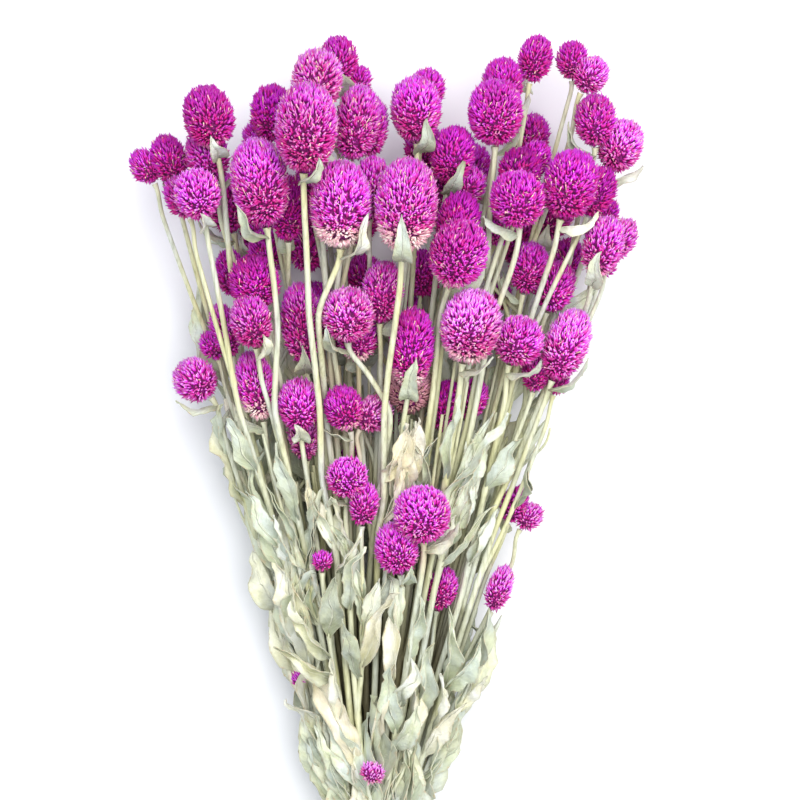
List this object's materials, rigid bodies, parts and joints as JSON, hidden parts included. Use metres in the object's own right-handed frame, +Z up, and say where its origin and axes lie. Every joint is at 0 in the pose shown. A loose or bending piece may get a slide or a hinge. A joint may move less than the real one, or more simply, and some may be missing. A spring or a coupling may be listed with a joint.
{
  "type": "dried flower bouquet",
  "caption": "Fan-shaped bunch of dried globe amaranth with round magenta heads on slender leafy stems, tied with twine and lying flat, for decoration.",
  "frame": {"origin": "on the surface that the bunch lies on, straight under the middle of the twine", "axes": "+Y along the bunch from the cut stems to the flower heads, +X across it, +Z up from the surface"},
  "size_m": [0.2293, 0.4428, 0.102],
  "materials": {
    "dried_bloom": "matt papery bracts",
    "dried_stem_and_leaf": "matt, dry",
    "jute_twine": "rough twisted fibre"
  },
  "bodies": {
    "root": {"bloom_01": "dried_bloom", "bloom_02": "dried_bloom", "bloom_03": "dried_bloom", "bloom_04": "dried_bloom", "bloom_05": "dried_bloom", "bloom_06": "dried_bloom", "bloom_07": "dried_bloom", "bloom_08": "dried_bloom", "bloom_09": "dried_bloom", "bloom_10": "dried_bloom", "bloom_11": "dried_bloom", "bloom_12": "dried_bloom", "bloom_13": "dried_bloom", "bloom_14": "dried_bloom", "bloom_15": "dried_bloom", "bloom_16": "dried_bloom", "bloom_17": "dried_bloom", "bloom_18": "dried_bloom", "bloom_19": "dried_bloom", "bloom_20": "dried_bloom", "bloom_21": "dried_bloom", "bloom_22": "dried_bloom", "bloom_23": "dried_bloom", "bloom_24": "dried_bloom", "bloom_25": "dried_bloom", "bloom_26": "dried_bloom", "bloom_27": "dried_bloom", "bloom_28": "dried_bloom", "bloom_29": "dried_bloom", "bloom_30": "dried_bloom", "bloom_31": "dried_bloom", "bloom_32": "dried_bloom", "bloom_33": "dried_bloom", "bloom_34": "dried_bloom", "bloom_35": "dried_bloom", "bloom_36": "dried_bloom", "bloom_37": "dried_bloom", "bloom_38": "dried_bloom", "bloom_39": "dried_bloom", "bloom_40": "dried_bloom", "bloom_41": "dried_bloom", "bloom_42": "dried_bloom", "bloom_43": "dried_bloom", "bloom_44": "dried_bloom", "bloom_45": "dried_bloom", "bloom_46": "dried_bloom", "bloom_47": "dried_bloom", "leafy_stems_01": "dried_stem_and_leaf", "leafy_stems_02": "dried_stem_and_leaf", "leafy_stems_03": "dried_stem_and_leaf", "leafy_stems_04": "dried_stem_and_leaf", "leafy_stems_05": "dried_stem_and_leaf", "leafy_stems_06": "dried_stem_and_leaf", "leafy_stems_07": "dried_stem_and_leaf", "leafy_stems_08": "dried_stem_and_leaf", "leafy_stems_09": "dried_stem_and_leaf", "leafy_stems_10": "dried_stem_and_leaf", "leafy_stems_11": "dried_stem_and_leaf", "leafy_stems_12": "dried_stem_and_leaf", "twine_tie": "jute_twine"}
  },
  "joints": []
}
